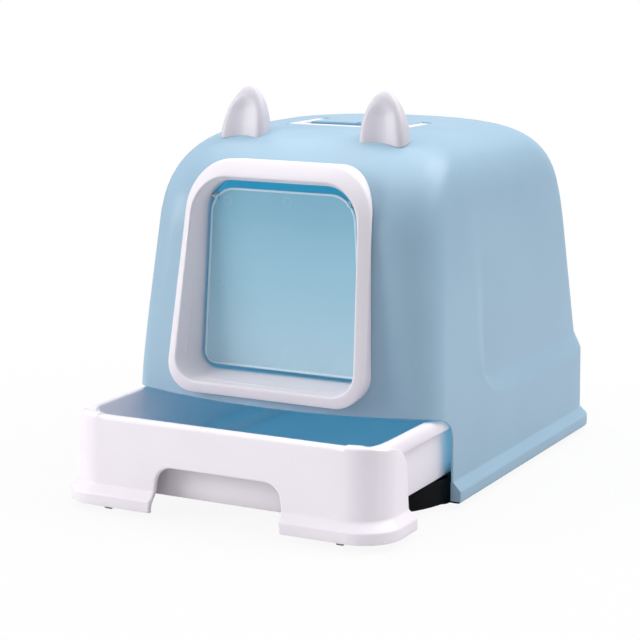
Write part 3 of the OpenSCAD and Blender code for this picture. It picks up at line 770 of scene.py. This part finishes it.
ENTRY_Z, FRAME_W, FRAME_H, MOUTH_W, MOUTH_H, MOUTH_DROP = 240, 236, 257.4, 212, 225, 3


def front_at(x, h):
    """Depth of the cover's front wall at height h."""
    z = h - crown(side_x(h))
    return front_y(z) + front_bow(level_share(z)) * x * x


def leaning(y, degrees, up):
    """Depth of a plane through y that leans back, seen from up above its middle."""
    return y + math.tan(math.radians(degrees)) * up


def face_ring(u, b):
    """Ring of the frame's face, u of the way from its outer edge to the mouth and b in front."""
    out = []
    for x, h in entry_outline(mix(FRAME_W, MOUTH_W, u) / 2, mix(FRAME_H, MOUTH_H, u) / 2,
                              mix(55.6, 41.7, u), mix(34.5, 27.4, u), mix(0.044, 0.047, u)):
        z = h + ENTRY_Z - MOUTH_DROP * u
        edge = min(leaning(-64.7, 9.8, z - ENTRY_Z), front_at(x, z) - 1.2)
        out.append((x, mix(edge, leaning(-72, 8, z - ENTRY_Z + MOUTH_DROP), u) - b, z))
    return out


def tunnel_ring(out, y):
    outline = entry_outline(TUNNEL_W / 2 + out, TUNNEL_H / 2 + out,
                            TUNNEL_TOP_R + out, TUNNEL_FOOT_R + out)
    return [(x, y, h + TUNNEL_Z) for x, h in outline]


def seat_ring(hw, hh, rt, rb, zc, gap):
    """Ring that lies gap in front of the cover's wall."""
    return [(x, front_at(x, h + zc) - gap, h + zc)
            for x, h in entry_outline(hw, hh, rt, rb, 0.05)]


def make_frame():
    profile = [(0, 0), (0.004, 0.9), (0.02, 1.6), (0.05, 2.2), (0.09, 2.6), (0.15, 2.9),
               (0.3, 3.3), (0.5, 3.6), (0.7, 3.7), (0.82, 3.6), (0.89, 3.3), (0.94, 2.8),
               (0.975, 2.0), (0.995, 1.0), (1, 0)]
    rings = [seat_ring(FRAME_W / 2 - 1.2, FRAME_H / 2 - 2.4, 54, 33, ENTRY_Z - 0.5, 0.3)]
    rings += [face_ring(u, b) for u, b in profile]
    mouth, throat = rings[-1], tunnel_ring(0.6, -50)
    for k in (0.12, 0.3, 0.6, 1):
        rings.append([tuple(mix(a, b, k) for a, b in zip(p, q)) for p, q in zip(mouth, throat)])
    rings += [tunnel_ring(out, y) for out, y in ((0, -46), (0, -28.8), (0.5, -28.2), (1.3, -28),
                                                 (2.1, -28.2), (WALL, -28.8))]
    rings.append(seat_ring(TUNNEL_W / 2 + 3.4, TUNNEL_H / 2 + 3.4, 36, 22, TUNNEL_Z, 0.3))
    bm = stacked(rings, closed=True)
    settle(bm, "entry_bezel", "cover", gloss_white, ["entry_frame"], 50)


KNUCKLE_X, KNUCKLE_R, KNUCKLE_L = 80, 4.5, 5.1


def make_flap():
    # Section of the raised rim, as the way in from the outline and the depth
    profile = [(3.9, -1.5), (3.4, -1.5), (3.0, -1.75), (2.6, -2.2), (2.0, -2.3), (0.9, -2.3),
               (0.3, -2.05), (0.02, -1.5), (0.02, 1.5), (0.3, 2.05), (0.9, 2.3), (2.0, 2.3),
               (2.6, 2.2), (3.0, 1.75), (3.4, 1.5), (3.9, 1.5)]
    rings = [[(x, FLAP_Y + dy, z + FLAP_Z) for x, z in
              entry_outline(FLAP_W / 2 - d, FLAP_H / 2 - d, FLAP_TOP_R - d, FLAP_FOOT_R - d)]
             for d, dy in profile]
    bm = stacked(rings)
    for side in (1, -1):
        knuckle = bmesh.new()
        bmesh.ops.create_circle(knuckle, cap_ends=True, segments=40, radius=KNUCKLE_R)
        pulled(knuckle, knuckle.faces[:], (0, 0, KNUCKLE_L))
        soften(knuckle, 0.5, 50, 2)
        for v in knuckle.verts:
            v.co = (side * (KNUCKLE_X + v.co.z), FLAP_Y + v.co.x, HINGE_Z + v.co.y)
        if side < 0:
            bmesh.ops.reverse_faces(knuckle, faces=knuckle.faces[:])
        bm = joined(bm, knuckle)
    settle(bm, "swing_flap", "flap", frosted, ["flap_panel"], 40)


# ---- Ears --------------------------------------------------------------------------------------

EAR_W, EAR_D, EAR_TOP, EAR_X, EAR_Y = 56, 38, 443, 88, 36
EAR_SUNK, EAR_IN, EAR_BACK = 0.6, 3, 2
EAR_POINTS, EAR_LEVELS = 120, 30


def ear_plan(s):
    """Outline of an ear s of the way up: a rounded front with a soft dish, and a round back."""
    w = EAR_W / 2 * (1 - s * s) ** 0.6
    front, back = EAR_D / 2 * (1 - s**1.8) ** 0.68, EAR_D * 0.55 * (1 - s * s) ** 0.58
    scoop, round_off = 7.5 * ease((0.9 - s) / 0.4), mix(0.55, 1, s * s)
    out = []
    for i in range(EAR_POINTS):
        q = 2 * math.pi * i / EAR_POINTS
        c, k = math.cos(q), math.sin(q)
        if k >= 0:
            out.append((w * c, back * k))
            continue
        x, y = math.copysign(abs(c) ** round_off, c), -abs(k) ** round_off
        dish = max(0, 1 - (x / 0.9) ** 2) ** 1.4
        out.append((w * x, front * y + scoop * dish))
    return out


def make_ears():
    feet = [roof_height(EAR_X + x, EAR_Y + y) - EAR_SUNK for x, y in ear_plan(0)]
    rings = []
    for i in range(EAR_LEVELS + 1):
        s = 0.999 * (1 - (1 - i / EAR_LEVELS) ** 2)
        rings.append([(EAR_X + x - EAR_IN * s, EAR_Y + y + EAR_BACK * s, mix(foot, EAR_TOP, s))
                      for (x, y), foot in zip(ear_plan(s), feet)])
    for side, name in ((1, "right"), (-1, "left")):
        bm = stacked([[(side * x, y, z) for x, y, z in r] for r in rings])
        settle(bm, "scooped_ear_" + name, "cover", ear_shaded_white, ["ear_" + name], 60)


# ---- Drawer ------------------------------------------------------------------------------------

DRAWER_REACH, DRAWER_CORNER, DRAWER_TOP, TOP_R = 86, 42, 98, 4.5
# Depth at which the drawer's front ends at the sides, by height
FRONT_END = [(0, -14), (12, -14.5), (22, -17.5), (51, -20), (66, -21.2), (73.7, -23.4), (79, -27),
             (84.3, -31.7), (88, -36.5), (91.7, -43), (94.4, -49), (96.4, -55), (DRAWER_TOP, -62)]
# How far the skirt stands out, by height
FOOT_FLARE = [(0, 9.3), (11.2, 9.4), (12, 9.3), (12.8, 8.8), (21, 1.5), (22, 0.9), (23, 0.75),
              (DRAWER_TOP, 0)]
# Shares of the front's columns: flat middle, corner with the side, and the end that turns inwards
FLAT_PART, WRAP_PART, END_PART = 0.4, 0.5, 0.1
END_FROM = FLAT_PART + WRAP_PART
END_R, END_RUN = 3.4, 6
TOP_LIFT, TOP_SINK = 1.6, 2.8
GRIP_W, GRIP_H, GRIP_R = 79, 50, 20


def front_spot(share, e, z, tilt):
    """Point on the drawer's front at offset e and height z, where its skin faces tilt above level;
    share runs from the middle to its end."""
    r = DRAWER_CORNER + (e if e < 0 else e / 4)
    flat, cy = HALF_W + e - r, -DRAWER_REACH - e + r
    if share <= FLAT_PART:
        return flat * share / FLAT_PART, -DRAWER_REACH - e, z
    end = line_through(FRONT_END, z if tilt < math.pi / 2 else DRAWER_TOP)
    last = math.pi / 2 if end >= cy else math.acos((cy - end) / r)
    bend, straight = r * last, max(0, end - cy)
    way = min(1, (share - FLAT_PART) / WRAP_PART) * (bend + straight)
    q = min(way / r, last)
    x, y = flat + r * math.sin(q), cy - r * math.cos(q) + max(0, way - bend)
    if share > END_FROM:
        # The end turns inwards with a small radius and runs back to the rim
        t = (share - END_FROM) / END_PART
        turn = min(1, t / 0.6) * math.pi / 2
        inwards = END_R * (1 - math.cos(turn)) + END_RUN * max(0, (t - 0.6) / 0.4)
        forth = END_R * math.sin(turn)
        x += -inwards * math.cos(tilt) * math.sin(q) + forth * math.cos(q)
        y += inwards * math.cos(tilt) * math.cos(q) + forth * math.sin(q)
        z -= inwards * math.sin(tilt)
    # The top edge is lifted above the rim along the corner and sinks below it near its end. The
    # flat middle has returned without the lift, which leaves a small step where the corner starts
    lift = TOP_LIFT - TOP_SINK * ease((share - 0.62) / 0.24)
    return x, y, z + lift * clamp01((z - 84) / 9)


def grip_outline(d):
    """Outline of the grip cut-out grown by d, from its right foot over the top to the left."""
    w, h, r = GRIP_W + d, GRIP_H + d, GRIP_R
    right = [(w, -20), (w, 0), (w, 5), (w - 1, 10), (w - 2, 15), (w - 2, 22)]
    right += [(w - 3 - r + r * math.cos(q), h - r + r * math.sin(q))
              for q in (math.pi / 2 * i / 10 for i in range(11))]
    return right + [(-x, z) for x, z in right[::-1]]


def foot_flare(z):
    return line_through(FOOT_FLARE, z)


def drawer_front():
    """Outer skin, rounded top edge and the top surface that runs in to the inner step."""
    shares = [FLAT_PART * i / 14 for i in range(14)]
    shares += [FLAT_PART + WRAP_PART * i / 34 for i in range(34)]
    shares += [END_FROM + END_PART * i / 10 for i in range(11)]
    row = [(s, -1) for s in shares[::-1]] + [(s, 1) for s in shares[1:]]
    heights = (0, 4, 8, 11, 11.8, 12.6, 13.6, 16, 19, 21, 22, 23.2, 26, 32, 40, 48, 56, 64, 72, 80,
               86, 90, 93)
    skin = [(foot_flare(z), z, 0) for z in heights]
    skin += [(-TOP_R * (1 - math.cos(q)), DRAWER_TOP - TOP_R + TOP_R * math.sin(q), q)
             for q in (math.pi / 2 * i / 8 for i in range(9))]
    skin += [(-7, DRAWER_TOP, math.pi / 2), (-9.5, DRAWER_TOP, math.pi / 2), (-11.5, 97.8, 1.7),
             (-12.7, 97.2, 2), (-13.4, 96.2, 2.5)]

    def spot(i, j):
        share, side = row[i]
        x, y, z = front_spot(share, *skin[j])
        return side * x, y, z

    front = outward(welded(lattice(len(row) - 1, len(skin) - 1, spot), 0.01))
    bmesh.ops.solidify(front, geom=front.faces[:], thickness=WALL)
    soften(front, 0.7, 62)
    return combined(front, [prism(grip_outline(2.2), -140, -66, True)])


def grip_lining():
    """Rounded lip and side walls of the grip cut-out."""
    lip_r = 2.5
    section = [(lip_r * (1 - math.sin(q)), lip_r * (1 - math.cos(q)))
               for q in (math.pi / 2 * i / 6 for i in range(7))]
    section += [(0, 4.6), (0.6, 5.2), (2.2, 5.2), (WALL, 4.6), (WALL, 2.4)]
    lip = [[(x, -DRAWER_REACH - foot_flare(max(0, z)) + back, max(z, 0.05))
            for x, z in grip_outline(d)[1:-1]] for d, back in section]
    n, m = len(lip[0]), len(lip)
    return capped(welded(lattice(n - 1, m, lambda i, j: lip[j % m][i]), RING_GAP))


# Levels of the tub and its rim, from the middle of the floor up, over the rim and down outside:
# half width, front, rear, radii of the front and rear corners, height
TUB_LEVELS = [
    (40, 60, 260, 30, 30, 14.6), (141, -59.4, 383.4, 27, 27, 14.6),
    (142.6, -61, 385, 28.5, 28.5, 15.2), (143.2, -61.6, 385.6, 29, 29, 16.6),
    (143.2, -61.6, 385.6, 29, 29, 26.2), (144, -61.6, 386.4, 29, 29, 27.6),
    (172.5, -61.6, 401, 34, 34, 27.6), (174.2, -61.6, 402.8, 35.4, 35.4, 28.4),
    (175, -61.6, 403.6, 36, 36, 30.4), (175, -61.6, 403.6, 36, 36, 79.2),
    (175, -61.9, 403.6, 36, 36, 80), (175, -70.6, 403.6, 36, 36, 80),
    (175, -72.1, 403.6, 36, 36, 80.5), (175, -72.6, 403.6, 36, 36, 82),
    (175, -72.6, 403.6, 36, 36, 95.9), (175.1, -72.7, 403.7, 36, 36, 96.9),
    (175.7, -73.3, 404.3, 36.4, 36.4, 97.7), (176.7, -74.3, 405.3, 37, 37, 98),
    (179, -76.5, 408, 38, 38, 97.97), (181.7, -79, 411, 39, 40, 97.4),
    (183.7, -81, 413.4, 40, 41, 95.9), (184.9, -82.3, 414.9, 40.5, 42, 93.6),
    (185.5, -83, 415.5, 41, 42, 91), (185.5, -83, 415.5, 41, 42, 82.6),
    (185.1, -82.6, 415.1, 41, 42, 81.9), (184.3, -81.8, 414.3, 41, 42, 81.7),
    (183.6, -81.1, 413.6, 41, 42, 82), (183.4, -80.9, 413.4, 41, 42, 82.8),
    (183.2, -80.7, 413.2, 41, 42, 94), (179.5, -77, 408.6, 39, 40, 95.3),
    (177.6, -66, 406.2, 38, 38, 94.6), (177.6, -64, 406, 38, 38, 78),
    (177.6, -64, 406, 38, 38, 29), (176.6, -64, 405, 37, 37, 26.4),
    (174, -64, 402, 36, 36, 25), (146, -64, 388, 30, 30, 25),
    (145.6, -64, 388, 30, 30, 24), (145.6, -64, 388, 30, 30, 14.6),
    (144.6, -63, 387, 29.4, 29.4, 12.7), (142, -60.6, 384.6, 28, 28, 12),
    (40, 60, 260, 30, 30, 12)]
RIB_IN, RIB_GAP, RIB_FRONT = 48.6, 4.5, -84.5


def under_front(y, z):
    """The rim runs a little lower where the front's top covers it."""
    return z - 1.7 * (1 - ease((y + 64) / 26)) * clamp01((z - 80) / 10)


def drawer_tub():
    return stacked([[(px, py, under_front(py, z)) for px, py in rounded(x, y0, y1, r0, r1)]
                    for x, y0, y1, r0, r1, z in TUB_LEVELS])


def drawer_ribs():
    """Pairs of ribs between the tub and the front, at both sides: they hold the wheels."""
    ribs = []
    for side in (1, -1):
        for dx in (-1, 1):
            middle = side * (HALF_W - RIB_IN + dx * RIB_GAP)
            for back, low, high in ((-63.5, -4, 79), (-73.5, 78, 93)):
                foot = [(middle + a, b) for a, b in ((-1, RIB_FRONT), (1, RIB_FRONT),
                                                     (1, back), (-1, back))]
                ribs.append(soften(prism(foot, low, high), 0.4, 60, 2))
    return ribs


def make_drawer():
    bm = joined(drawer_front(), grip_lining(), drawer_tub(), *drawer_ribs())
    settle(bm, "litter_drawer", "drawer", drawer_white, ["drawer_tray"], 38,
           DRAWER_OPEN)


# ---- Pieces that keep the solid's shape --------------------------------------------------------


def eased(node, name, body, finish, width):
    """Copy of a solid with its edges rounded."""
    bm = bmesh.new()
    bm.from_mesh(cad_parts[node].data)
    bmesh.ops.remove_doubles(bm, verts=bm.verts[:], dist=2e-6)
    bmesh.ops.dissolve_limit(bm, angle_limit=math.radians(1), verts=bm.verts[:], edges=bm.edges[:])
    soften(bm, width * MM, 40)
    settle_placed(bm, name, body, finish, [node], 30)


def finish_solid(node, finish):
    """Puts a finish on a solid that shows itself."""
    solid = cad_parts[node]
    if solid.material_slots:
        for slot in solid.material_slots:
            slot.material = finish
    else:
        solid.data.materials.append(finish)


make_cover()
make_frame()
make_flap()
make_ears()
make_drawer()
eased("carry_handle", "folding_handle", "handle", gloss_white, 1.2)
eased("base_tray", "base_pan", "base", base_black, 0.7)
for side in ("left", "right"):
    for node, finish in (("pad_front_", rubber), ("pad_rear_", rubber), ("roller_", wheel_grey),
                         ("roller_axle_", steel), ("flap_pin_", steel), ("ear_screw_", steel),
                         ("handle_pin_", steel)):
        finish_solid(node + side, finish)


# ---- Floor, light and camera -------------------------------------------------------------------

# In metres and degrees
FLOOR_REACH, FLOOR_DROP = 90, 0.0003
LENS, SENSOR = 109.1, 36
AZIMUTH, ELEVATION, ROLL = 27.34, 10.845, 0.22
LOOK_AT, DISTANCE = Vector((-0.0517, 0.0272, 0.1637)), 2.340


def make_floor():
    bm = bmesh.new()
    bmesh.ops.create_grid(bm, x_segments=2, y_segments=2, size=FLOOR_REACH)
    flat = bpy.data.meshes.new("floor")
    bm.to_mesh(flat)
    bm.free()
    flat.materials.append(floor_paint())
    floor = bpy.data.objects.new("floor", flat)
    bpy.context.scene.collection.objects.link(floor)
    floor.location = (0, 0, -FLOOR_DROP)


def floor_paint():
    """Pale floor: the camera sees it as white, darkened only a little by the object's shadow."""
    p = Paint("pale_floor")
    p.set(Base_Color=p.blend(p.noise(30, 3), plain((204, 204, 206)), plain((212, 212, 214))),
          Roughness=0.85)
    path = p.tree.nodes.new("ShaderNodeLightPath")
    seen = Wire(p, path.outputs["Is Camera Ray"]).most(Wire(p, path.outputs["Is Transmission Ray"]))
    glow = p.node("ShaderNodeEmission", {}, {0: (1, 1, 1, 1)})
    x, y = p.axes()[:2]
    away = (x * x + y * y).sqrt().between(0.35, 1.1)
    p.show_both(seen * (0.92 + 0.08 * away), Wire(p, p.skin.outputs[0]), glow)
    return p.material


def make_world():
    """Even room light; the camera and see-through pieces see it as white."""
    world = bpy.data.worlds.new("studio")
    bpy.context.scene.world = world
    world.use_nodes = True
    tree = world.node_tree
    tree.nodes.clear()
    out = tree.nodes.new("ShaderNodeOutputWorld")
    room, white = (tree.nodes.new("ShaderNodeBackground") for _ in range(2))
    room.inputs[0].default_value = (0.93, 0.95, 1, 1)
    room.inputs[1].default_value = 0.52
    white.inputs[0].default_value = (1, 1, 1, 1)
    path = tree.nodes.new("ShaderNodeLightPath")
    either = tree.nodes.new("ShaderNodeMath")
    either.operation = "MAXIMUM"
    tree.links.new(path.outputs["Is Camera Ray"], either.inputs[0])
    tree.links.new(path.outputs["Is Transmission Ray"], either.inputs[1])
    both = tree.nodes.new("ShaderNodeMixShader")
    tree.links.new(either.outputs[0], both.inputs[0])
    tree.links.new(room.outputs[0], both.inputs[1])
    tree.links.new(white.outputs[0], both.inputs[2])
    tree.links.new(both.outputs[0], out.inputs[0])


def make_lamp(name, place, target, size, power):
    lamp = bpy.data.lights.new(name, "AREA")
    lamp.shape, lamp.size, lamp.size_y, lamp.energy = "RECTANGLE", size[0], size[1], power
    thing = bpy.data.objects.new(name, lamp)
    thing.location = place
    thing.rotation_mode = "QUATERNION"
    thing.rotation_quaternion = (Vector(target) - Vector(place)).to_track_quat("-Z", "Y")
    bpy.context.scene.collection.objects.link(thing)


def make_camera():
    eye = bpy.data.cameras.new("camera")
    eye.lens, eye.sensor_width = LENS, SENSOR
    eye.clip_start, eye.clip_end = 0.05, 50
    thing = bpy.data.objects.new("camera", eye)
    a, e = math.radians(AZIMUTH), math.radians(ELEVATION)
    back = Vector((math.sin(a) * math.cos(e), -math.cos(a) * math.cos(e), math.sin(e)))
    roll = Quaternion((0, 0, 1), math.radians(ROLL))
    thing.location = LOOK_AT + back * DISTANCE
    thing.rotation_mode = "QUATERNION"
    thing.rotation_quaternion = (-back).to_track_quat("-Z", "Y") @ roll
    bpy.context.scene.collection.objects.link(thing)
    bpy.context.scene.camera = thing


make_floor()
make_world()
make_lamp("top_softbox", (-0.1, 0.3, 2.2), (0, 0, 0.2), (2.6, 2.2), 37)
make_lamp("front_left_fill", (-2.3, -1.9, 1.1), (0, 0, 0.2), (1.6, 1.6), 46)
make_lamp("right_fill", (2.2, 0.7, 2.0), (0, 0, 0.2), (1.4, 1.4), 13)
make_lamp("roof_right_fill", (1.3, 1.2, 2.3), (0, 0, 0.3), (1.4, 1.4), 26)
make_camera()
bpy.context.scene.view_settings.view_transform = "Standard"
